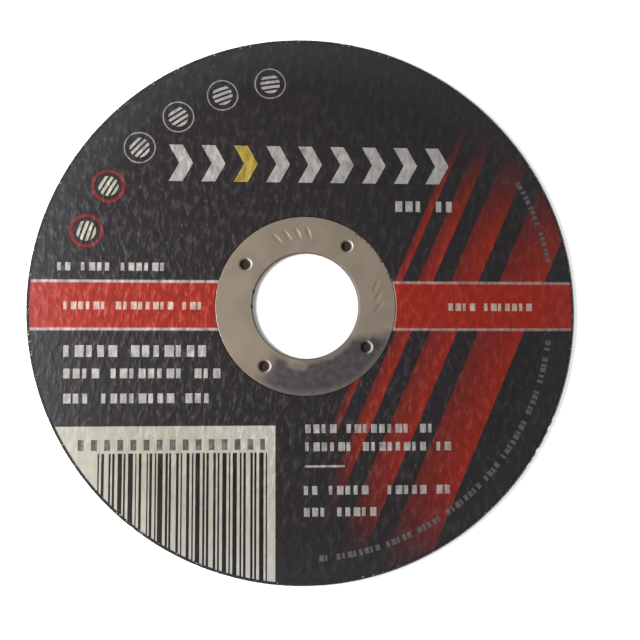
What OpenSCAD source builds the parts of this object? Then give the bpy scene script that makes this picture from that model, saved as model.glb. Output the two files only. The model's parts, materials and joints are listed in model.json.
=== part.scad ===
/* [Wheel] */
// Outside diameter of the abrasive disc
wheel_d = 115; // [100:0.5:230]
// Thickness of the wheel, from the back face of the disc to the face of the label
wheel_t = 1.0; // [0.9:0.05:3.2]
// Break on both edges of the rim
rim_break = 0.08; // [0.02:0.01:0.2]

/* [Label] */
// Thickness of the paper
label_t = 0.1; // [0.05:0.01:0.2]
// Width of bare abrasive between the edge of the label and the rim
rim_margin = 0.7; // [0.3:0.1:5]

/* [Bore ring] */
// Diameter of the bore, which is the inside of the collar
bore_d = 22.23; // [16:0.01:25.4]
// Outside diameter of the flange
flange_d = 37.7; // [35:0.1:50]
// Thickness of the sheet steel
sheet_t = 0.25; // [0.2:0.01:0.3]
// Height of the flange above the face of the label
flange_rise = 0.1; // [0:0.01:0.18]
// Inside radius of the bend between the flange and the collar
shoulder_r = 0.15; // [0.05:0.01:0.25]
// Rounding of the outer top edge of the flange
flange_edge_r = 0.1; // [0.02:0.01:0.18]
// Distance from the back face of the disc to the end of the collar
collar_inset = 0.05; // [0:0.01:0.2]

/* [Spurs] */
// Number of pierced spurs that hold the ring to the disc
spur_count = 4; // [3:1:8]
// Diameter of the hole through a spur
spur_hole_d = 2.0; // [1.2:0.1:3]
// Inside radius of the bend between the flange and a spur
spur_bend_r = 0.3; // [0.05:0.01:0.35]
// Depth of a spur below the face of the flange
spur_depth = 0.75; // [0.65:0.05:0.9]
// Distance of the circle of spurs outside the middle of the flange
spur_offset = 0.15; // [-0.5:0.05:0.5]
// Angle of the first spur, in degrees
spur_turn = 55.6; // [0:0.1:90]

/* [Fit] */
// Gap round the collar and the spurs, and between the flange and the label beside it
fit_gap = 0.05; // [0.02:0.01:0.1]

/* [Hidden] */
$fn = 180;

wheel_r = wheel_d / 2;
label_r = wheel_r - rim_margin;
bore_r = bore_d / 2;
flange_r = flange_d / 2;
spur_hole_r = spur_hole_d / 2;

// Heights, from the back face up
disc_top = wheel_t - label_t;
flange_top = wheel_t + flange_rise;
flange_bottom = flange_top - sheet_t;
seat_top = flange_bottom - label_t;
seat_depth = disc_top - seat_top;

// The seat that the flange is pressed into: its floor ends at seat_r and a slope climbs to seat_rim_r
seat_r = flange_r + fit_gap;
seat_rim_r = seat_r + seat_depth;

// A neck runs this far into the flat that it bends down from
neck_lap = sheet_t / 2;

// Spurs stand round the middle of the flange's flat
shoulder_out_r = bore_r + sheet_t + shoulder_r;
spur_circle_r = (shoulder_out_r + flange_r) / 2 + spur_offset;

// Through cuts run past the faces they cut by this much
cut_past = 0.5;

// Radius of the outside of a neck whose inside radius is hole_r, with its gap
function neck_room_r(hole_r) = hole_r + sheet_t + fit_gap;

// Half section of sheet that turns down from the flange into a hole and ends at height end_z
module neck_section(hole_r, bend_r, end_z) {
    bend_out_r = bend_r + sheet_t;
    bend_z = flange_bottom - bend_r;
    translate([hole_r, end_z])
        square([sheet_t, bend_z - end_z]);
    translate([hole_r + bend_out_r, bend_z])
        intersection() {
            difference() {
                circle(r = bend_out_r);
                circle(r = bend_r);
            }
            translate([-bend_out_r, 0])
                square(bend_out_r);
        }
    translate([hole_r + bend_out_r, flange_bottom])
        square([neck_lap, sheet_t]);
}

// Space for a neck in what lies under the flange, from height floor_z up, wider where the neck bends
module neck_room(hole_r, bend_r, floor_z) {
    room_r = neck_room_r(hole_r);
    rotate_extrude()
        polygon([
            [0, floor_z],
            [room_r, floor_z],
            [room_r, seat_top - bend_r],
            [room_r + bend_r, seat_top],
            [room_r + bend_r, flange_top],
            [0, flange_top]
        ]);
}

// Half section of the flange from inner_r out, with its top edge rounded
module flange_section(inner_r) {
    width = flange_r - inner_r;
    translate([inner_r, flange_bottom]) {
        square([width, sheet_t - flange_edge_r]);
        square([width - flange_edge_r, sheet_t]);
    }
    translate([flange_r - flange_edge_r, flange_top - flange_edge_r])
        circle(r = flange_edge_r);
}

// Places its children on the axis of each spur
module at_spurs() {
    for (i = [0 : spur_count - 1])
        rotate([0, 0, spur_turn + i * 360 / spur_count])
            translate([spur_circle_r, 0, 0])
                children();
}

// Grain and resin pressed round glass nets, with a pressed-in seat for the ring and a pocket for each spur
module abrasive_disc() {
    color("#3b3836")
        difference() {
            rotate_extrude()
                polygon([
                    [0, 0],
                    [wheel_r - rim_break, 0],
                    [wheel_r, rim_break],
                    [wheel_r, disc_top - rim_break],
                    [wheel_r - rim_break, disc_top],
                    [seat_rim_r, disc_top],
                    [seat_r, seat_top],
                    [0, seat_top]
                ]);
            neck_room(bore_r, shoulder_r, -cut_past);
            at_spurs()
                neck_room(spur_hole_r, spur_bend_r, flange_top - spur_depth - fit_gap);
        }
}

// Paper that covers the front of the disc and follows it down into the seat, with a hole for each neck
module label() {
    color("#4a3531")
        difference() {
            rotate_extrude()
                polygon([
                    [0, seat_top],
                    [seat_r, seat_top],
                    [seat_rim_r, disc_top],
                    [label_r, disc_top],
                    [label_r, wheel_t],
                    [seat_rim_r, wheel_t],
                    [seat_r, flange_bottom],
                    [0, flange_bottom]
                ]);
            neck_room(bore_r, shoulder_r, -cut_past);
            at_spurs()
                neck_room(spur_hole_r, spur_bend_r, -cut_past);
        }
}

// Sheet steel pressed into a flange, a rounded shoulder and a collar, with spurs pierced through the flange
module bore_ring() {
    spur_mouth_r = spur_hole_r + sheet_t + spur_bend_r;
    color("#a39a8c") {
        difference() {
            rotate_extrude() {
                flange_section(shoulder_out_r);
                neck_section(bore_r, shoulder_r, collar_inset);
            }
            at_spurs()
                cylinder(r = spur_mouth_r, h = flange_top + cut_past);
        }
        at_spurs()
            rotate_extrude()
                neck_section(spur_hole_r, spur_bend_r, flange_top - spur_depth);
    }
}

abrasive_disc();
label();
bore_ring();
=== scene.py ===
import json
import math

import bmesh
import bpy
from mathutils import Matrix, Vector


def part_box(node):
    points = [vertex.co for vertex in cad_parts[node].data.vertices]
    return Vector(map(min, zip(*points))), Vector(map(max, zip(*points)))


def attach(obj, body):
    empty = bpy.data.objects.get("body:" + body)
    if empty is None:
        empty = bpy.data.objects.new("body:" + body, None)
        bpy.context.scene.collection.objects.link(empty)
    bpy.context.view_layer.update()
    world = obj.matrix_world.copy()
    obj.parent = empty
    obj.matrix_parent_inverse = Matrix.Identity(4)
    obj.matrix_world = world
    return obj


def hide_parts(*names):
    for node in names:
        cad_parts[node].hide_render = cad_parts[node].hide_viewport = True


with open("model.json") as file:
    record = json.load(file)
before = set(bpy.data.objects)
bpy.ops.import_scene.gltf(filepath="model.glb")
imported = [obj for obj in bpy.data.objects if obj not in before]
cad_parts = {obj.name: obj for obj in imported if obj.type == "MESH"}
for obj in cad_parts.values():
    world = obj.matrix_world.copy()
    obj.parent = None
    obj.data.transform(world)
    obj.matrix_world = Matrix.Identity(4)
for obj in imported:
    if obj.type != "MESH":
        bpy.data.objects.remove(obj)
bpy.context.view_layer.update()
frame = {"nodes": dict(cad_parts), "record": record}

# Abrasive disc: grain and resin pressed in a mould round woven glass nets, then baked hard.
# Its rim is raw grain with a few pieces broken out, and its back carries the print of the net.
MM = 0.001
disc_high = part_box("abrasive_disc")[1]
label_low, label_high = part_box("label")
ring_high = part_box("bore_ring")[1]
mounts = {mount["name"]: mount for mount in frame["record"]["mounts"]}
wheel_r = disc_high.y
disc_top = disc_high.z
label_r = label_high.y
label_top = label_high.z
seat_top = label_low.z
flange_r = ring_high.y
bore_r = mounts["bore"]["dims"]["r_mm"] * MM
fit_gap = 0.05 * MM
sheet_t = 0.25 * MM
bend_r = 0.15 * MM
spur_circle_r = 15.33 * MM
spur_count = 4
spur_step = 360 / spur_count
first_spur = 55.6
post_segments = 48
seat_r = flange_r + fit_gap
seat_rim_r = seat_r + disc_top - seat_top
collar_room_r = bore_r + sheet_t + fit_gap


def pick(piece, kind, test):
    """Selects, in edit mode, those of the piece's points, edges or faces that pass a test."""
    bpy.ops.mesh.select_mode(type=kind)
    bpy.ops.mesh.select_all(action="DESELECT")
    mesh = bmesh.from_edit_mesh(piece.data)
    elements = {"VERT": mesh.verts, "EDGE": mesh.edges, "FACE": mesh.faces}[kind]
    for element in elements:
        element.select_set(test(element))
    mesh.select_flush_mode()
    bmesh.update_edit_mesh(piece.data)


def off_axis(points):
    """Distance of the middle of some points from the wheel's axis."""
    x = sum(point.co.x for point in points) / len(points)
    y = sum(point.co.y for point in points) / len(points)
    return math.hypot(x, y)


def draw_out(section, radius, height):
    """Extrudes the selected loop through each radius and height of a section."""
    for next_radius, next_height in section:
        widen = next_radius / radius
        bpy.ops.mesh.extrude_region()
        bpy.ops.transform.resize(value=(widen, widen, 1), center_override=(0, 0, 0))
        bpy.ops.transform.translate(value=(0, 0, next_height - height))
        radius, height = next_radius, next_height


def even_steps(start, end, step):
    """Values from start to end, start left out, in equal steps of about the size asked."""
    count = math.ceil(abs(end - start) / step)
    return [start + (end - start) * (i + 1) / count for i in range(count)]


def close_up(piece):
    """Leaves edit mode with doubles merged and every face turned outwards."""
    bpy.ops.mesh.select_all(action="SELECT")
    bpy.ops.mesh.remove_doubles(threshold=0.001 * MM)
    bpy.ops.mesh.normals_make_consistent(inside=False)
    bpy.ops.object.mode_set(mode="OBJECT")


def weigh(piece, name, weight):
    """Makes a point group whose weight at each point follows a rule."""
    group = piece.vertex_groups.new(name=name)
    for point in piece.data.vertices:
        share = weight(point.co)
        if share > 0:
            group.add([point.index], share, "REPLACE")
    return name


def roughen(piece, group, texture, cell, depth, direction="NORMAL", lean=0):
    """Moves a group of points by a texture whose pattern is stretched to the cell's three sizes."""
    space = bpy.data.objects.new("texture_space", None)
    bpy.context.scene.collection.objects.link(space)
    space.scale = cell
    space.rotation_euler.z = lean
    bpy.context.view_layer.update()
    push = piece.modifiers.new("push", "DISPLACE")
    push.texture = texture
    push.texture_coords = "OBJECT"
    push.texture_coords_object = space
    push.vertex_group = group
    push.direction = direction
    push.mid_level = 0
    push.strength = depth
    bpy.context.view_layer.objects.active = piece
    bpy.ops.object.modifier_apply(modifier=push.name)
    bpy.data.objects.remove(space)


def copies_at(first, places):
    """Joins copies of a shape made at the origin, each with its own turn, place and size."""
    copies = []
    for turn, place, size in places:
        bpy.ops.object.select_all(action="DESELECT")
        first.select_set(True)
        bpy.context.view_layer.objects.active = first
        bpy.ops.object.duplicate()
        copies.append(bpy.context.object)
        copies[-1].rotation_euler.z = turn
        copies[-1].location = place
        copies[-1].scale = (size, size, size)
    bpy.data.objects.remove(first)
    for copy in copies:
        copy.select_set(True)
    bpy.ops.object.join()
    bpy.ops.object.transform_apply(location=True, rotation=True, scale=True)
    return bpy.context.object


def round_the_axis(radius, degrees, height=0):
    """The point at a distance from the wheel's axis, at an angle and a height."""
    angle = math.radians(degrees)
    return radius * math.cos(angle), radius * math.sin(angle), height


def spur_posts(section):
    """One tool of like posts of a section, on the axes of the ring's spurs."""
    radius, height = section[0]
    bpy.ops.object.select_all(action="DESELECT")
    bpy.ops.mesh.primitive_circle_add(vertices=post_segments, radius=radius, fill_type="NGON")
    post = bpy.context.object
    bpy.ops.object.mode_set(mode="EDIT")
    bpy.ops.mesh.select_all(action="SELECT")
    bpy.ops.transform.translate(value=(0, 0, height))
    draw_out(section[1:], radius, height)
    close_up(post)
    angles = [first_spur + spur_step * i for i in range(spur_count)]
    return copies_at(post, [(0, round_the_axis(spur_circle_r, angle), 1) for angle in angles])


def cut_away(piece, tool):
    """Cuts a closed tool out of a closed piece and removes the tool."""
    cut = piece.modifiers.new("cut", "BOOLEAN")
    cut.operation = "DIFFERENCE"
    cut.solver = "MANIFOLD"
    cut.object = tool
    bpy.context.view_layer.objects.active = piece
    bpy.ops.object.modifier_apply(modifier=cut.name)
    bpy.data.objects.remove(tool)


def smooth(piece, degrees):
    """Shades a piece smooth, but sharp at edges that turn by more than the angle."""
    bpy.ops.object.select_all(action="DESELECT")
    piece.select_set(True)
    bpy.context.view_layer.objects.active = piece
    bpy.ops.object.shade_smooth_by_angle(angle=math.radians(degrees))


# Section drawn out from the hole for the collar: back, rim, bare face, and the seat under the ring.
inner_segments = 540
fine_from_r = 45 * MM
ring_step = 0.5 * MM
rim_step = 0.13 * MM
rim_round = 0.16 * MM
bare_lap = 0.5 * MM
bare_from_r = label_r - bare_lap
bpy.ops.object.select_all(action="DESELECT")
bpy.ops.mesh.primitive_circle_add(vertices=inner_segments, radius=collar_room_r)
disc = bpy.context.object
disc.name = "disc_of_grain"
bpy.ops.object.mode_set(mode="EDIT")
bpy.ops.mesh.select_mode(type="EDGE")
bpy.ops.mesh.select_all(action="SELECT")
back_inner = [(r, 0) for r in even_steps(collar_room_r, fine_from_r, ring_step)]
draw_out(back_inner, collar_room_r, 0)
bpy.ops.mesh.subdivide(number_cuts=1)
back_edge_r = wheel_r - rim_round
back_outer = [(r, 0) for r in even_steps(fine_from_r, back_edge_r, ring_step)]
rim_low = [
    (wheel_r - rim_round * (1 - math.sin(a)), rim_round * (1 - math.cos(a)))
    for a in (math.pi / 4, math.pi / 2)
]
rim_wall = [(wheel_r, z) for z in even_steps(rim_round, disc_top - rim_round, rim_step)]
rim_high = [(r, disc_top - z) for r, z in reversed([(back_edge_r, 0), rim_low[0]])]
bare_face = [(r, disc_top) for r in even_steps(back_edge_r, bare_from_r, rim_step)]
under_label = [
    (seat_rim_r, disc_top),
    (seat_r, seat_top),
    (collar_room_r + bend_r, seat_top),
    (collar_room_r, seat_top - bend_r),
]
draw_out(back_outer + rim_low + rim_wall + rim_high + bare_face + under_label, fine_from_r, 0)
pick(disc, "EDGE", lambda edge: edge.is_boundary)
bpy.ops.mesh.bridge_edge_loops()
close_up(disc)

spur_room_r = 1.3 * MM
spur_bend_r = 0.3 * MM
spur_floor = 0.3 * MM
pocket_mouth_r = spur_room_r + spur_bend_r
pocket = [
    (spur_room_r, spur_floor),
    (spur_room_r, seat_top - spur_bend_r),
    (pocket_mouth_r, seat_top),
    (pocket_mouth_r, label_top),
]
cut_away(disc, spur_posts(pocket))

# Bites out of the rim: angle in degrees, depth and size in mm.
bites = (
    (-24.4, 0.26, 0.8),
    (-26.7, 0.36, 0.6),
    (-28.8, 0.22, 1.1),
    (-32.0, 0.4, 0.7),
    (-33.7, 0.2, 0.6),
    (-35.7, 0.28, 0.9),
    (103.0, 0.16, 0.7),
    (-128.0, 0.18, 0.9),
)
bpy.ops.object.select_all(action="DESELECT")
bpy.ops.mesh.primitive_ico_sphere_add(subdivisions=2, radius=MM, scale=(1, 1.3, 3))
bite = bpy.context.object
bpy.ops.object.transform_apply(scale=True)
bite_places = []
for degrees, depth, size in bites:
    bite_reach = wheel_r + (size - depth) * MM
    bite_middle = round_the_axis(bite_reach, degrees, disc_top / 2)
    bite_places.append((math.radians(degrees), bite_middle, size))
cut_away(disc, copies_at(bite, bite_places))

net_pitch = 4.2 * MM
net_depth = 0.035 * MM
back_grain = 0.5 * MM
back_grain_depth = 0.02 * MM
rim_grain = 0.35 * MM
rim_grain_depth = 0.12 * MM
hair = 0.01 * MM
far = 1000.0

# The bands of a wood texture repeat every 2 pi / 10 of its cell.
wave = net_pitch * 10 / (2 * math.pi)
yarns = bpy.data.textures.new("yarns", "WOOD")
yarns.wood_type = "BANDS"
yarns.noise_basis_2 = "SIN"
yarns.use_color_ramp = True
yarns.color_ramp.elements[0].position = 0.5
yarns.color_ramp.elements[0].color = (1, 1, 1, 1)
yarns.color_ramp.elements[1].position = 0.85
yarns.color_ramp.elements[1].color = (0, 0, 0, 1)
grains = bpy.data.textures.new("grains", "CLOUDS")
grains.noise_scale = 1.0
grains.noise_depth = 2
grains.noise_basis = "VORONOI_F1"
back = weigh(
    disc, "back", lambda p: p.z < hair and collar_room_r + ring_step < p.xy.length < back_edge_r
)
roughen(disc, back, yarns, (wave, far, far), net_depth, "Z")
roughen(disc, back, yarns, (far, wave, far), net_depth, "Z")
roughen(disc, back, grains, [back_grain] * 3, back_grain_depth, "Z")
rim = weigh(disc, "rim", lambda p: p.xy.length > bare_from_r + rim_step and p.z > hair)
roughen(disc, rim, grains, [rim_grain] * 3, -rim_grain_depth)
disc.vertex_groups.clear()
smooth(disc, 40)


class Field:
    """A number, colour or direction that changes over a surface, held as a socket of its node tree."""

    def __init__(self, tree, socket=None):
        self.tree = tree
        self.socket = socket

    def node(self, kind, settings=None, inputs=None, out=0):
        """Adds a node with its settings and the values or links of its sockets, and gives one output."""
        made = self.tree.nodes.new(kind)
        for name, value in (settings or {}).items():
            setattr(made, name, value)
        for name, value in (inputs or {}).items():
            if isinstance(value, Field):
                self.tree.links.new(value.socket, made.inputs[name])
            else:
                made.inputs[name].default_value = value
        return Field(self.tree, made.outputs[out])

    def out(self, name):
        """Another output of the same node."""
        return Field(self.tree, self.socket.node.outputs[name])

    def math(self, operation, *values):
        """A Math node on some values, by the name of its operation."""
        return self.node("ShaderNodeMath", {"operation": operation}, dict(enumerate(values)))

    def __add__(self, other):
        return self.math("ADD", self, other)

    __radd__ = __add__

    def __sub__(self, other):
        return self.math("SUBTRACT", self, other)

    def __rsub__(self, other):
        return self.math("SUBTRACT", other, self)

    def __mul__(self, other):
        return self.math("MULTIPLY", self, other)

    __rmul__ = __mul__

    def __truediv__(self, other):
        return self.math("DIVIDE", self, other)

    def __lt__(self, other):
        return self.math("LESS_THAN", self, other)

    def __gt__(self, other):
        return self.math("GREATER_THAN", self, other)

    def __mod__(self, other):
        return self.math("FLOORED_MODULO", self, other)

    def __abs__(self):
        return self.math("ABSOLUTE", self)

    def between(self, low, high):
        """1 where the value lies between low and high, else 0."""
        return (self > low) * (self < high)

    def ease(self, low, high):
        """Climbs smoothly from 0 at low to 1 at high."""
        return self.node(
            "ShaderNodeMapRange",
            {"interpolation_type": "SMOOTHSTEP"},
            {"Value": self, "From Min": low, "From Max": high},
        )

    def coat(self, colour):
        """A colour that is the same all over, for others to be laid on."""
        made = self.node("ShaderNodeRGB")
        made.socket.default_value = colour
        return made

    def blend(self, other, share):
        """This colour mixed towards another by a share."""
        return self.node("ShaderNodeMix", {"data_type": "RGBA"}, {0: share, 6: self, 7: other}, 2)

    def lit_by(self, level):
        """This colour made lighter or darker by a level, where 1 leaves it as it is."""
        return self.node("ShaderNodeVectorMath", {"operation": "SCALE"}, {0: self, "Scale": level})

    def noise(self, cell, detail=2.0, roughness=0.5):
        """Noise at this place, its pattern stretched to the cell's three sizes."""
        stretched = self.node(
            "ShaderNodeMapping", {}, {"Vector": self, "Scale": [1 / size for size in cell]}
        )
        return self.node(
            "ShaderNodeTexNoise",
            {},
            {"Vector": stretched, "Scale": 1.0, "Detail": detail, "Roughness": roughness},
        )

    def bump(self, distance, under=None):
        """A surface direction tilted by this height, over another such direction."""
        inputs = {"Height": self, "Distance": distance, "Strength": 1.0}
        if under is not None:
            inputs["Normal"] = under
        return self.node("ShaderNodeBump", {}, inputs)


def linear(red, green, blue):
    """A colour given as 0 to 255 on screen, in the shader's own values."""
    levels = [v / 255 for v in (red, green, blue)]
    return [v / 12.92 if v < 0.04045 else ((v + 0.055) / 1.055) ** 2.4 for v in levels] + [1]


def new_finish(name):
    """A material, its shader node, and the place on the piece that its patterns start from."""
    material = bpy.data.materials.new(name)
    material.use_nodes = True
    shader = material.node_tree.nodes["Principled BSDF"]
    place = Field(material.node_tree).node("ShaderNodeTexCoord", out="Object")
    return material, shader, place


def feed(shader, **fields):
    """Links fields to the shader's sockets, by name with spaces as underscores."""
    for name, field in fields.items():
        field.tree.links.new(field.socket, shader.inputs[name.replace("_", " ")])


grain_finish, grain_shader, place = new_finish("grain_and_resin")
dark_resin = linear(40, 38, 39)
grey_grain = linear(74, 71, 70)
bright_grain = linear(150, 145, 138)
glass_yarn = linear(72, 69, 64)
# The next colour is a painted highlight on the right of the rim.
rim_highlight_grain = linear(150, 147, 147)
pocket_dust = linear(50, 36, 30)
grain_size = 0.3 * MM
blotch_size = 3 * MM
fine_size = 0.12 * MM
grain_height = 0.12 * MM
back_skin = 0.2 * MM
highlight_start = 0.42 * MM
highlight_full = 0.3 * MM
cells = place.node(
    "ShaderNodeTexVoronoi", {"feature": "F1"}, {"Vector": place, "Scale": 1 / grain_size}
)
tone = place.node("ShaderNodeSeparateColor", {}, {0: cells.out("Color")})
blotch = place.noise([blotch_size] * 3)
colour = place.coat(dark_resin).blend(grey_grain, tone * blotch)

# Bright broken grains, a pale rim on the right that is a painted highlight, dust in the ring's pockets,
# and yarns on the back.
xyz = place.node("ShaderNodeSeparateXYZ", {}, {0: place})
x, y, z = xyz, xyz.out("Y"), xyz.out("Z")
reach = place.math("SQRT", x * x + y * y)
above_back = z > back_skin
in_pocket = (reach < seat_r) * above_back
colour = colour.blend(bright_grain, (tone.out("Green") > 0.96) * (1 - in_pocket))
right_rim_highlight = x.ease(10 * MM, 55 * MM) * above_back
rim_highlight = reach.ease(wheel_r - highlight_start, wheel_r - highlight_full) * right_rim_highlight
colour = colour.blend(rim_highlight_grain, rim_highlight * (0.4 + 0.5 * tone.out("Blue")))
colour = colour.blend(pocket_dust, in_pocket * 0.6)
turn_per_m = 2 * math.pi / net_pitch
across = place.math("SINE", x * turn_per_m)
along = place.math("SINE", y * turn_per_m)
yarn = place.math("MAXIMUM", across, along).ease(0.45, 0.8) * (1 - above_back)
colour = colour.blend(glass_yarn, yarn * 0.7)
fine = place.noise([fine_size] * 3)
height = cells + 0.4 * fine
feed(
    grain_shader,
    Base_Color=colour,
    Roughness=0.62 + 0.3 * fine,
    Normal=height.bump(grain_height),
)
grain_shader.inputs["Specular IOR Level"].default_value = 0.2
disc.data.materials.clear()
disc.data.materials.append(grain_finish)
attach(disc, "root")
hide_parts("abrasive_disc")

# Label: a printed paper disc baked on to the front of the wheel, just short of the rim.
# The resin draws the paper down over the net, so its face is finely crinkled, mostly up and down.
label_t = label_top - disc_top
crinkle_x = 0.23 * MM
crinkle_y = 0.62 * MM
seat_margin = 0.25 * MM
face_inner_r = seat_rim_r + seat_margin

# Face of small cells cut to a ring and crinkled, then drawn down into the seat and closed underneath.
bpy.ops.object.select_all(action="DESELECT")
bpy.ops.mesh.primitive_grid_add(
    size=2 * label_r,
    x_subdivisions=round(2 * label_r / crinkle_x),
    y_subdivisions=round(2 * label_r / crinkle_y),
)
label = bpy.context.object
label.name = "printed_label"
bpy.ops.object.mode_set(mode="EDIT")
bpy.ops.transform.translate(value=(0, 0, label_top))
pick(label, "FACE", lambda face: not face_inner_r < off_axis(face.verts) < label_r)
bpy.ops.mesh.delete(type="FACE")
pick(label, "VERT", lambda point: point.is_boundary)
mesh = bmesh.from_edit_mesh(label.data)
for point in mesh.verts:
    if point.select:
        from_axis = off_axis([point])
        point.co.xy *= (label_r if from_axis > fine_from_r else face_inner_r) / from_axis
bmesh.update_edit_mesh(label.data)
bpy.ops.object.mode_set(mode="OBJECT")
face = weigh(label, "face", lambda p: face_inner_r + crinkle_y < p.xy.length < label_r - crinkle_y)
crinkles = bpy.data.textures.new("crinkles", "CLOUDS")
crinkles.noise_scale = 1.0
crinkles.noise_depth = 1
crinkles.use_color_ramp = True
crinkles.color_ramp.elements[0].position = 0.42
crinkles.color_ramp.elements[0].color = (0, 0, 0, 1)
crinkles.color_ramp.elements[1].position = 0.78
crinkles.color_ramp.elements[1].color = (1, 1, 1, 1)
crinkle_lean = math.radians(-7)
crinkle_cell = (1.4 * MM, 3.2 * MM, 1 * MM)
crinkle_depth = 0.04 * MM
roughen(label, face, crinkles, crinkle_cell, crinkle_depth, "Z", crinkle_lean)
label.vertex_groups.clear()
bpy.ops.object.mode_set(mode="EDIT")
label_hole_r = collar_room_r + bend_r
pick(label, "EDGE", lambda edge: edge.is_boundary and off_axis(edge.verts) < fine_from_r)
draw_out(
    [
        (seat_rim_r, label_top),
        (seat_r, seat_top + label_t),
        (label_hole_r, seat_top + label_t),
        (label_hole_r, seat_top),
        (seat_r, seat_top),
        (seat_rim_r, disc_top),
    ],
    face_inner_r,
    label_top,
)
pick(label, "EDGE", lambda edge: edge.is_boundary and off_axis(edge.verts) > fine_from_r)
draw_out([(label_r, disc_top)], label_r, label_top)
pick(label, "EDGE", lambda edge: edge.is_boundary)
bpy.ops.mesh.bridge_edge_loops()
close_up(label)
cut_away(label, spur_posts([(pocket_mouth_r, seat_top - label_t), (pocket_mouth_r, label_top)]))
smooth(label, 35)

paper_finish, paper_shader, place = new_finish("printed_paper")
black_ink = linear(37, 33, 35)
red_ink = linear(150, 41, 28)
deep_red = linear(120, 34, 34)
white_ink = linear(177, 162, 162)
cream_ink = linear(174, 170, 152)
grey_cream = linear(168, 164, 156)
painted_light_cream = linear(200, 198, 190)
soft_black = linear(84, 80, 74)
bar_black = linear(24, 18, 17)
pale_ink = linear(167, 164, 160)
warm_ink = linear(188, 166, 152)
yellow_ink = linear(172, 150, 66)
faint_ink = linear(92, 89, 90)
faded_ink = linear(176, 140, 130)
pale_rim_tint = linear(160, 162, 172)


def measured(place):
    """Right, up and out from the axis in mm, and the angle in degrees, at each place on a piece."""
    xyz = place.node("ShaderNodeSeparateXYZ", {}, {0: place})
    x = xyz * (1 / MM)
    y = xyz.out("Y") * (1 / MM)
    reach = place.math("SQRT", x * x + y * y)
    angle = place.math("DEGREES", place.math("ARCTAN2", y, x))
    return x, y, reach, angle


x, y, reach, angle = measured(place)
leaning = place.node("ShaderNodeMapping", {}, {"Vector": place, "Rotation": (0, 0, -crinkle_lean)})
crumple = leaning.noise((1.3 * MM, 2.4 * MM, 1 * MM), 1.7)
fibres = leaning.noise((0.45 * MM, 0.9 * MM, 1 * MM), 1.0)
cover = 1 - 0.3 * leaning.noise((1.0 * MM, 2.0 * MM, 1 * MM), 2.0).ease(0.45, 0.7)

# Slanted stripes on the right of the face, dark along one edge and fading out at both ends:
# left edge and width of each.
slant = math.radians(24)
stripe_places = ((15.0, 1.5), (19.5, 3.0), (26.0, 5.4), (35.5, 9.0))
over = x * math.cos(slant) - y * math.sin(slant)
run = x * math.sin(slant) + y * math.cos(slant)
stripes = 0
for left, width in stripe_places:
    step = (over - left) * (1 / width)
    stripes = step.between(0, 1) * (0.45 + 0.55 * step) + stripes
fade = (1 - run.ease(24, 52)) * (1 - (-1 * run).ease(16, 46))
colour = place.coat(black_ink).blend(red_ink, stripes * fade * x.ease(3, 12) * 0.9)

# Red band across the middle between two white lines, and the pale edge of the paper beside the ring.
band_half = 4.97
in_band = abs(y) < band_half
colour = colour.blend(red_ink, in_band)
edge_line = 1 - abs(abs(y) - band_half).ease(0.14, 0.42)
patchy = (1.7 * cover - 0.7) * (1 - 0.36 * x.ease(-20, 30))
colour = colour.blend(white_ink, edge_line * patchy)
faded_to_r = 19.2
colour = colour.blend(faded_ink, in_band * (reach < faded_to_r) * (x > 0))

# Cream panel at the lower left, with upright bars of a plain uneven rhythm.
panel_right = -6.35
panel_top = -24.9
bars_left = -42.8
bars_right = -7.7
bars_top = -30.4
bar_rates = (3.3, 5.9, 8.3)
panel = (x < panel_right) * (y < panel_top)
bars_at = x.between(bars_left, bars_right) * (y < bars_top)
rhythm = sum(place.math("SINE", x * rate) for rate in bar_rates)
weave = place.noise((1.1 * MM, 9 * MM, 1 * MM))
paper = place.coat(cream_ink).blend(grey_cream, weave.ease(0.45, 0.6))
# Painted light: the cream is made paler towards the right of the panel and towards the rim.
rim_painted_light = reach.ease(47, 57) * (0.2 + 0.24 * x.ease(-52, -30))
paper = paper.blend(painted_light_cream, 0.45 * x.ease(-30, -6) + rim_painted_light)
colour = colour.blend(paper, panel)
colour = colour.blend(bar_black, panel * bars_at * (rhythm > 0.0))
small_left = -46.4
small_right = -8.5
small_y = -28.7
small_half = 1.1
small_pitch = 2.64
small_width = 1.2
small_row = x.between(small_left, small_right) * (abs(y - small_y) < small_half)
small_marks = small_row * ((x - small_left) % small_pitch < small_width)
colour = colour.blend(soft_black, small_marks * cover)

# Row of chevrons across the top, one of them yellow.
chevron_pitch = 6.8
chevron_stroke = 2.9
chevron_y = 30.1
chevron_half = 3.9
chevron_slope = 0.55
row_left = -26.6
row_right = 33.0
yellow_left = row_left + 2 * chevron_pitch
nose = abs(y - chevron_y) * chevron_slope + x
row = (abs(y - chevron_y) < chevron_half) * nose.between(row_left, row_right)
chevrons = row * ((nose - row_left) % chevron_pitch < chevron_stroke)
yellow_one = nose.between(yellow_left, yellow_left + chevron_pitch)
colour = colour.blend(pale_ink, chevrons * (1 - yellow_one) * cover)
colour = colour.blend(yellow_ink, chevrons * yellow_one * cover)

# Lines of small blocks in groups: left end, right end, middle, height and phase of each line.
lines = (
    (19.1, 31.6, 21.3, 2.3, 0.3),
    (-51.3, -28.5, 8.0, 1.7, 4.0),
    (-49.9, -20.4, -0.1, 1.6, 4.6),
    (30.2, 47.9, -0.2, 1.6, 0.0),
    (-49.7, -19.3, -9.5, 2.4, 5.2),
    (-49.6, -16.8, -14.1, 2.0, 0.2),
    (-49.5, -18.4, -19.2, 2.0, 0.9),
    (-0.2, 26.8, -25.6, 1.8, 0.2),
    (-0.2, 30.7, -29.3, 1.8, 4.6),
    (-0.5, 13.2, -38.2, 1.8, 3.8),
    (16.8, 30.2, -38.2, 1.8, 5.2),
    (-0.5, 14.6, -42.6, 1.8, 0.3),
)


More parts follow.
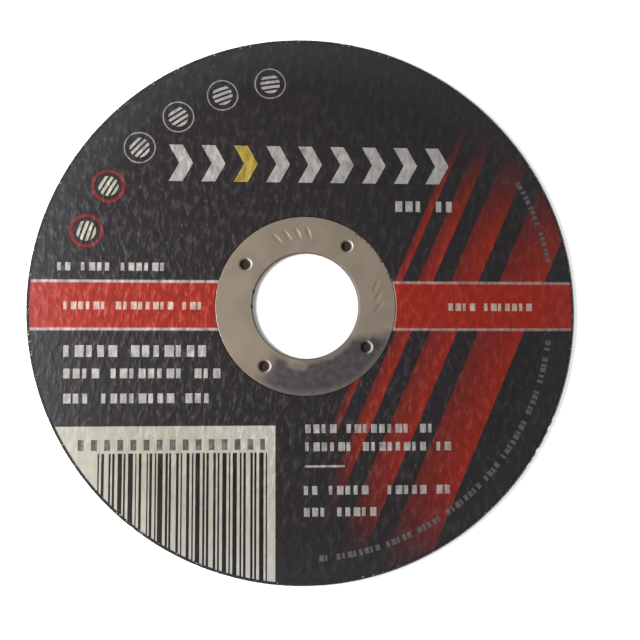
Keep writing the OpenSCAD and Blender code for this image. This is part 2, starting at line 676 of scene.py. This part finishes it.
def blocks_along(distance, pitch, phase):
    """Blocks of uneven width along a line, one in each pitch, with a gap after every few."""
    number = distance.math("FLOOR", distance / pitch)
    sway = 1.3 * distance.math("SINE", number * 0.37 + phase)
    printed = distance.math("SINE", number * 0.9 + sway + phase) > -0.9
    width = 0.62 + 0.2 * distance.math("SINE", number * 2.4 + phase)
    return printed * ((distance / pitch) % 1 < width)


pitch_of_height = 0.95
printed = 0
start = 0
pitch = 0
phase = 0
for left, right, middle, height, first_phase in lines:
    block_pitch = pitch_of_height * height
    length = block_pitch * round((right - left) / block_pitch)
    line = x.between(left, left + length) * (abs(y - middle) < height / 2)
    printed = line + printed
    start = line * left + start
    pitch = line * block_pitch + pitch
    phase = line * first_phase + phase
rule_left = -0.3
rule_right = 8.0
rule_y = -33.3
rule_half = 0.22
rule = x.between(rule_left, rule_right) * (abs(y - rule_y) < rule_half)
printed = place.math("MAXIMUM", printed * blocks_along(x - start, pitch, phase), rule)
colour = colour.blend(pale_ink, printed * (abs(y) > band_half) * cover)
colour = colour.blend(warm_ink, printed * in_band * cover)

# Two lines of small blocks that follow the rim: first and last block, inner and outer edge of each.
arc_pitch = 1.3
arc_phase = 5.7
arc_lines = ((-67, -6, 51.4, 52.6), (8, 24, 52.4, 53.4))
arcs = 0
for first, last, inner, outer in arc_lines:
    line = angle.between(first * arc_pitch, last * arc_pitch) * reach.between(inner, outer)
    arcs = line + arcs
colour = colour.blend(faint_ink, arcs * blocks_along(angle, arc_pitch, arc_phase))

# Six round marks on the upper left, four pale and two red, each a ring round a striped disc.
mark_reach = 48.2
mark_step = 12.45
first_mark = 99.0
mark_r = 3.2
mark_inner_r = 2.1
mark_stripe_pitch = 1.05
mark_stripe = 0.6
pale_ring_half = 0.14
red_ring_half = 0.3
mark_index = place.math("ROUND", (angle - first_mark) * (1 / mark_step))
mark_turn = (angle - first_mark - mark_index * mark_step) * (math.pi / 180)
aside = reach * mark_turn
outward = reach - mark_reach
mark_d = place.math("SQRT", aside * aside + outward * outward)
pale_marks = mark_index.between(-0.5, 3.5)
red_marks = mark_index.between(3.5, 5.5)
mark_ring = abs(mark_d - mark_r)
mark_stripes = (mark_d < mark_inner_r) * (outward % mark_stripe_pitch < mark_stripe)
pale_print = place.math("MAXIMUM", 0.65 * (mark_ring < pale_ring_half), mark_stripes)
colour = colour.blend(pale_ink, pale_marks * pale_print * cover)
colour = colour.blend(deep_red, red_marks * (mark_ring < red_ring_half))
colour = colour.blend(cream_ink, red_marks * mark_stripes * cover)

# Crinkle: blotchy tone, crests lightened by painted sheen and creases darkened by painted shade, a few
# pale specks, and a paler, bluer tint near the rim. The ridges stand out most left of the middle, and
# less to the right, top and bottom.
patch = leaning.noise((2.0 * MM, 3.4 * MM, 1 * MM), 1.0)
specks = leaning.noise((0.6 * MM, 1.0 * MM, 1 * MM), 1.0)
ridge_height = 0.11 * MM
fibre_height = 0.014 * MM
ridge = crumple.ease(0.4, 0.75)
crest = crumple.ease(0.5, 0.7)
crease = 1 - crumple.ease(0.28, 0.48)
pale_specks = specks.ease(0.69, 0.79)
drawn = (1 - 0.5 * (x + 0.6 * y).ease(-5, 45)) * (1 - 0.35 * abs(y).ease(25, 50))
drawn = drawn * (1 - 0.4 * (x + y).ease(-45, -65))
calm_panel = 1 - 0.45 * panel
ripple = drawn * calm_panel
# Painted sheen lightens the crests and painted shade darkens the creases, over the paper's blotchy tone.
tone_and_crinkle_shading = 0.2 * patch * calm_panel + ripple * (0.32 * crest - 0.3 * crease)
# Paler and bluer near the rim, most at the upper left.
rim_tint_share = reach.ease(46, 57) * (0.022 + 0.026 * (y - 0.5 * x).ease(20, 60))
colour = colour.blend(pale_rim_tint, rim_tint_share)
colour = colour.lit_by(0.88 + 0.04 * panel + tone_and_crinkle_shading)
# More painted sheen on the crests, and the pale specks.
colour = colour.blend(pale_ink, ripple * (0.04 * crest + 0.16 * pale_specks))
feed(
    paper_shader,
    Base_Color=colour,
    Roughness=0.38 + 0.16 * patch,
    Normal=fibres.bump(fibre_height, (ridge * drawn).bump(ridge_height)),
)
paper_shader.inputs["Specular IOR Level"].default_value = 0.15
label.data.materials.clear()
label.data.materials.append(paper_finish)
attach(label, "root")
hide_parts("label")

# Bore ring: thin sheet steel pressed into a flange, a rounded shoulder and a collar that lines the bore.
# Four spurs are pierced through the flange into the disc, and two rows of plain ticks are stamped in it.
ring = bpy.data.objects.new("pressed_ring", frame["nodes"]["bore_ring"].data.copy())
bpy.context.scene.collection.objects.link(ring)
bpy.ops.object.select_all(action="DESELECT")
ring.select_set(True)
bpy.context.view_layer.objects.active = ring
bpy.ops.object.mode_set(mode="EDIT")
close_up(ring)

flange_top = ring_high.z
tick_reach = 15.4 * MM
tick_ball = (1.8 * MM, 6.0 * MM, 1.8 * MM)
tick_depth = 0.075 * MM
tick_step = 8.5
tick_span = 1.8 * MM

# Rows of ticks: angle of the first, count, and lean, in degrees.
tick_rows = ((88, 4, 70), (-1, 3, 40))
bpy.ops.object.select_all(action="DESELECT")
bpy.ops.mesh.primitive_uv_sphere_add(segments=64, ring_count=48, radius=1, scale=tick_ball)
tick = bpy.context.object
bpy.ops.object.transform_apply(scale=True)
tick_z = flange_top - tick_depth + tick_ball[2]
tick_places = []
for first_angle, count, lean in tick_rows:
    for i in range(count):
        degrees = first_angle + tick_step * i
        tick_middle = round_the_axis(tick_reach, degrees, tick_z)
        tick_places.append((math.radians(degrees - lean), tick_middle, 1))
cut_away(ring, copies_at(tick, tick_places))
smooth(ring, 30)


def edges_a_tick(edge):
    """True of an edge where a tick's hollow meets the flat of the flange."""
    level = all(abs(point.co.z - flange_top) < 0.0005 * MM for point in edge.verts)
    near = any(
        math.dist(point.co.xy, middle[:2]) < tick_span
        for point in edge.verts
        for _, middle, _ in tick_places
    )
    return level and near and len(edge.link_faces) == 2 and edge.calc_face_angle() > 0.01


bpy.ops.object.mode_set(mode="EDIT")
pick(ring, "EDGE", edges_a_tick)
bpy.ops.mesh.mark_sharp()
bpy.ops.object.mode_set(mode="OBJECT")
weighted = ring.modifiers.new("weighted", "WEIGHTED_NORMAL")
weighted.keep_sharp = True
bpy.context.view_layer.objects.active = ring
bpy.ops.object.modifier_apply(modifier=weighted.name)

steel_finish, steel_shader, place = new_finish("pressed_steel")
bright_steel = linear(142, 130, 116)
dull_steel = linear(130, 119, 106)
dark_steel = linear(66, 63, 65)
grey_steel = linear(82, 78, 79)
# The next two colours are a painted highlight on the spurs' right lips and painted shade round their
# mouths.
lip_highlight_steel = linear(176, 168, 160)
mouth_shade = linear(104, 92, 82)
# Black of the resin smear, also used for two spots of painted shade on the shoulder.
resin_and_gap_shade = linear(40, 38, 38)
mottle_height = 0.004 * MM
x, y, reach, angle = measured(place)
cloudy = place.noise((5 * MM, 5 * MM, 5 * MM))
mottle = place.noise((1.7 * MM, 1.3 * MM, 1 * MM), 5.0, 0.7)
scuff = place.noise((0.12 * MM, 2.2 * MM, 1 * MM), 2.0)
blots = place.noise((1.7 * MM, 2.3 * MM, 2 * MM), 3.0, 0.55) - 0.5
colour = place.coat(bright_steel).blend(dull_steel, cloudy.ease(0.2, 0.8))

# Painted reflection of something dark on the lower part of the flange, with a paler spot in it.
dark_reflection_start = -122
dark_reflection_end = -27
dark_reflection_right = (angle - dark_reflection_end - 2.5 * (reach - 14) + 14 * blots).ease(-7, 5)
dark_reflection_left = (angle - dark_reflection_start + 14 * blots).ease(-10, 10)
dark_reflection_inner = 0.4 + 0.6 * (reach + 2 * blots).ease(11.7, 12.8)
dark_reflection_outer = (reach + blots).ease(17.3, 18.6)
dark_reflection = (1 - dark_reflection_right) * dark_reflection_left * dark_reflection_inner * (1 - 0.3 * dark_reflection_outer)
dark_reflection_tone = place.coat(dark_steel).blend(grey_steel, mottle.ease(0.35, 0.65))
spot_angle = -99
spot_reach = 12.6
spot_half_turn = 9
spot_half_width = 1.1
spot_aside = abs(angle - spot_angle) / spot_half_turn
spot_outward = abs(reach - spot_reach) / spot_half_width
clear_spot = 1 - (spot_aside * spot_aside + spot_outward * spot_outward + 3 * blots).ease(0, 2.2)
colour = colour.blend(dark_reflection_tone, dark_reflection * (1 - 0.55 * clear_spot))

# Mouths of the spurs, each with painted shade round it and a painted highlight on its right lip.
spur_turn = (angle - first_spur + spur_step / 2) % spur_step - spur_step / 2
spur_aside = reach * spur_turn * (math.pi / 180)
spur_outward = reach - spur_circle_r / MM
spur_d = place.math("SQRT", spur_aside * spur_aside + spur_outward * spur_outward)
spur_at = (angle - spur_turn) * (math.pi / 180)
spur_right = spur_outward * place.math("COSINE", spur_at) - spur_aside * place.math("SINE", spur_at)
mouth = 1 - spur_d.ease(1.25, 1.5)
right_lip_highlight = spur_right.ease(-0.1, 0.7)
colour = colour.blend(mouth_shade, (1 - (spur_d + blots).ease(1.1, 1.6)) * 0.25)
colour = colour.blend(lip_highlight_steel, mouth * right_lip_highlight)

# Shoulder, darkened by painted shade, most so on the left, where two black spots of painted shade stand
# for small gaps.
shade_angle = 160
shade_turn = abs((angle - shade_angle + 180) % 360 - 180)
shoulder = 1 - reach.ease(11.3, 11.7)
left_shade = 1 - shade_turn.ease(25, 70)
colour = colour.blend(dark_steel, shoulder * (0.3 + 0.15 * left_shade))
upper_gap_spot = 165
lower_gap_spot = 181
full_turn = angle % 360
gap_spot_turn = place.math("MINIMUM", abs(full_turn - upper_gap_spot), abs(full_turn - lower_gap_spot))
colour = colour.blend(resin_and_gap_shade, shoulder * (1 - gap_spot_turn.ease(1.2, 2.8)))

# Resin smeared over the edge of the flange at the upper right.
nibble = place.noise((0.45 * MM, 0.45 * MM, 0.45 * MM), 1.0)
smear_angle = 38
smear_arc = 1 - abs(angle - smear_angle).ease(12, 26)
smear = (reach + 2.0 * (nibble - 0.5) + 0.8 * blots).ease(18.62, 18.68) * smear_arc
colour = colour.blend(resin_and_gap_shade, smear)
polish = 0.34 + 0.06 * scuff + 0.08 * dark_reflection + 0.4 * smear
feed(
    steel_shader,
    Base_Color=colour,
    Roughness=polish + 0.3 * shoulder + 0.26 * mouth,
    Metallic=1 - smear,
    Normal=mottle.bump(mottle_height),
)
ring.data.materials.clear()
ring.data.materials.append(steel_finish)
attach(ring, "root")
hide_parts("bore_ring")

# Resin crumbs: drops of resin squeezed up beside the flange when the ring was pressed in, and baked on.
# They are the same black stuff as the disc, and make the edge of the ring ragged at the upper right.
crumb_r = 0.3 * MM
crumb_half_width = 0.7 * crumb_r
crumb_t = 0.09 * MM
lump_size = 0.25 * MM
lump_depth = 0.05 * MM
crumb_count = 26
first_crumb = 17
crumb_step = 1.75
crumb_reach = 18.93 * MM
crumb_stray = 0.08 * MM
crumb_turns = [math.radians(47 * i) for i in range(crumb_count)]
crumb_angles = [first_crumb + crumb_step * i + 0.6 * math.sin(3.1 * i) for i in range(crumb_count)]
crumb_reaches = [crumb_reach + crumb_stray * math.sin(2.3 * i) for i in range(crumb_count)]
bpy.ops.object.select_all(action="DESELECT")
crumb_ball = (crumb_r, crumb_half_width, crumb_t)
bpy.ops.mesh.primitive_ico_sphere_add(subdivisions=3, radius=1, scale=crumb_ball)
crumb = bpy.context.object
bpy.ops.object.transform_apply(scale=True)
crumb_places = [round_the_axis(r, a, label_top) for r, a in zip(crumb_reaches, crumb_angles)]
crumbs = copies_at(crumb, [(turn, middle, 1) for turn, middle in zip(crumb_turns, crumb_places)])
crumbs.name = "resin_crumbs"
lumps = weigh(crumbs, "lumps", lambda p: 1)
roughen(crumbs, lumps, grains, [lump_size] * 3, -lump_depth)
crumbs.vertex_groups.clear()
smooth(crumbs, 60)
crumbs.data.materials.clear()
crumbs.data.materials.append(grain_finish)
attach(crumbs, "root")

# Floor: a plain white sheet that the wheel lies loose on.
# A glow keeps it white to the eye, less in the bore and more far off, and the wheel's shadow stays on it.
floor_size = 3
floor_drop = 0.02 * MM
bore_patch_r = 20 * MM
far_from_r = 80 * MM
far_to_r = 250 * MM
bpy.ops.object.select_all(action="DESELECT")
bpy.ops.mesh.primitive_plane_add(size=floor_size, location=(0, 0, -floor_drop))
floor = bpy.context.object
floor.name = "floor"
floor_finish, floor_shader, place = new_finish("white_sheet")
floor_shader.inputs["Base Color"].default_value = linear(248, 248, 248)
floor_shader.inputs["Roughness"].default_value = 0.9
floor_shader.inputs["Specular IOR Level"].default_value = 0.1
lit = Field(floor_finish.node_tree, floor_shader.outputs[0])
rays = place.node("ShaderNodeLightPath", out="Is Camera Ray")
seen = rays + rays.out("Is Glossy Ray") + rays.out("Is Transmission Ray")
distance = place.node("ShaderNodeVectorMath", {"operation": "LENGTH"}, {0: place}, 1)
in_bore = distance < bore_patch_r
far_off = distance.ease(far_from_r, far_to_r)
brightness = seen * (0.6 - 0.45 * in_bore + 0.25 * far_off)
glow = place.node("ShaderNodeEmission", {}, {"Strength": brightness})
shown = place.node("ShaderNodeAddShader", {}, {0: lit, 1: glow})
sheet_out = floor_finish.node_tree.nodes["Material Output"]
floor_finish.node_tree.links.new(shown.socket, sheet_out.inputs["Surface"])
floor.data.materials.append(floor_finish)

# Light: a pale room that is dimmer on the right, and one soft round lamp on the left.
# The lamp stands low enough to rake the crinkles of the paper.
world = bpy.data.worlds.new("room")
bpy.context.scene.world = world
world.use_nodes = True
sky = world.node_tree.nodes["Background"]
sky.inputs["Color"].default_value = (1, 1, 1, 1)
room_light = 0.2
dim_side = 0.3
lamp_size = 0.08
lamp_watts = 0.53
lamp_at = (-0.15, 0, 0.15)
rays = Field(world.node_tree).node("ShaderNodeLightPath", out="Is Camera Ray")
toward = rays.node("ShaderNodeTexCoord", out="Generated")
rightward = rays.node("ShaderNodeSeparateXYZ", {}, {0: toward})
mirrored = 1 - (1 - dim_side) * rightward.ease(0.1, 0.9)
shiny = rays.out("Is Glossy Ray") + rays.out("Is Transmission Ray")
feed(sky, Strength=room_light + (1 - room_light) * rays + (mirrored - room_light) * shiny)
lamp_data = bpy.data.lights.new("soft_lamp", "AREA")
lamp_data.shape = "DISK"
lamp_data.size = lamp_size
lamp_data.energy = lamp_watts
lamp = bpy.data.objects.new("soft_lamp", lamp_data)
bpy.context.scene.collection.objects.link(lamp)
lamp.location = lamp_at
lamp.rotation_euler = (-lamp.location).to_track_quat("-Z", "Y").to_euler()
lamp.visible_camera = False

# Camera: nearly straight above the wheel, a little to the lower left.
# Its place, turn and focal length were fitted to the outline, the flange and the band.
frame_px = 640
focal_px = 902.5
eye = (-10.02 * MM, -19.94 * MM, 187.56 * MM + label_top)
eye_turn = (5.16, -3.94, 0.14)
camera_data = bpy.data.cameras.new("camera")
camera = bpy.data.objects.new("camera", camera_data)
bpy.context.scene.collection.objects.link(camera)
bpy.context.scene.camera = camera
camera_data.sensor_width = 36
camera_data.lens = focal_px / frame_px * camera_data.sensor_width
camera_data.clip_start = 0.01
camera.location = eye
camera.rotation_mode = "ZYX"
camera.rotation_euler = [math.radians(a) for a in eye_turn]
bpy.context.scene.view_settings.view_transform = "Standard"
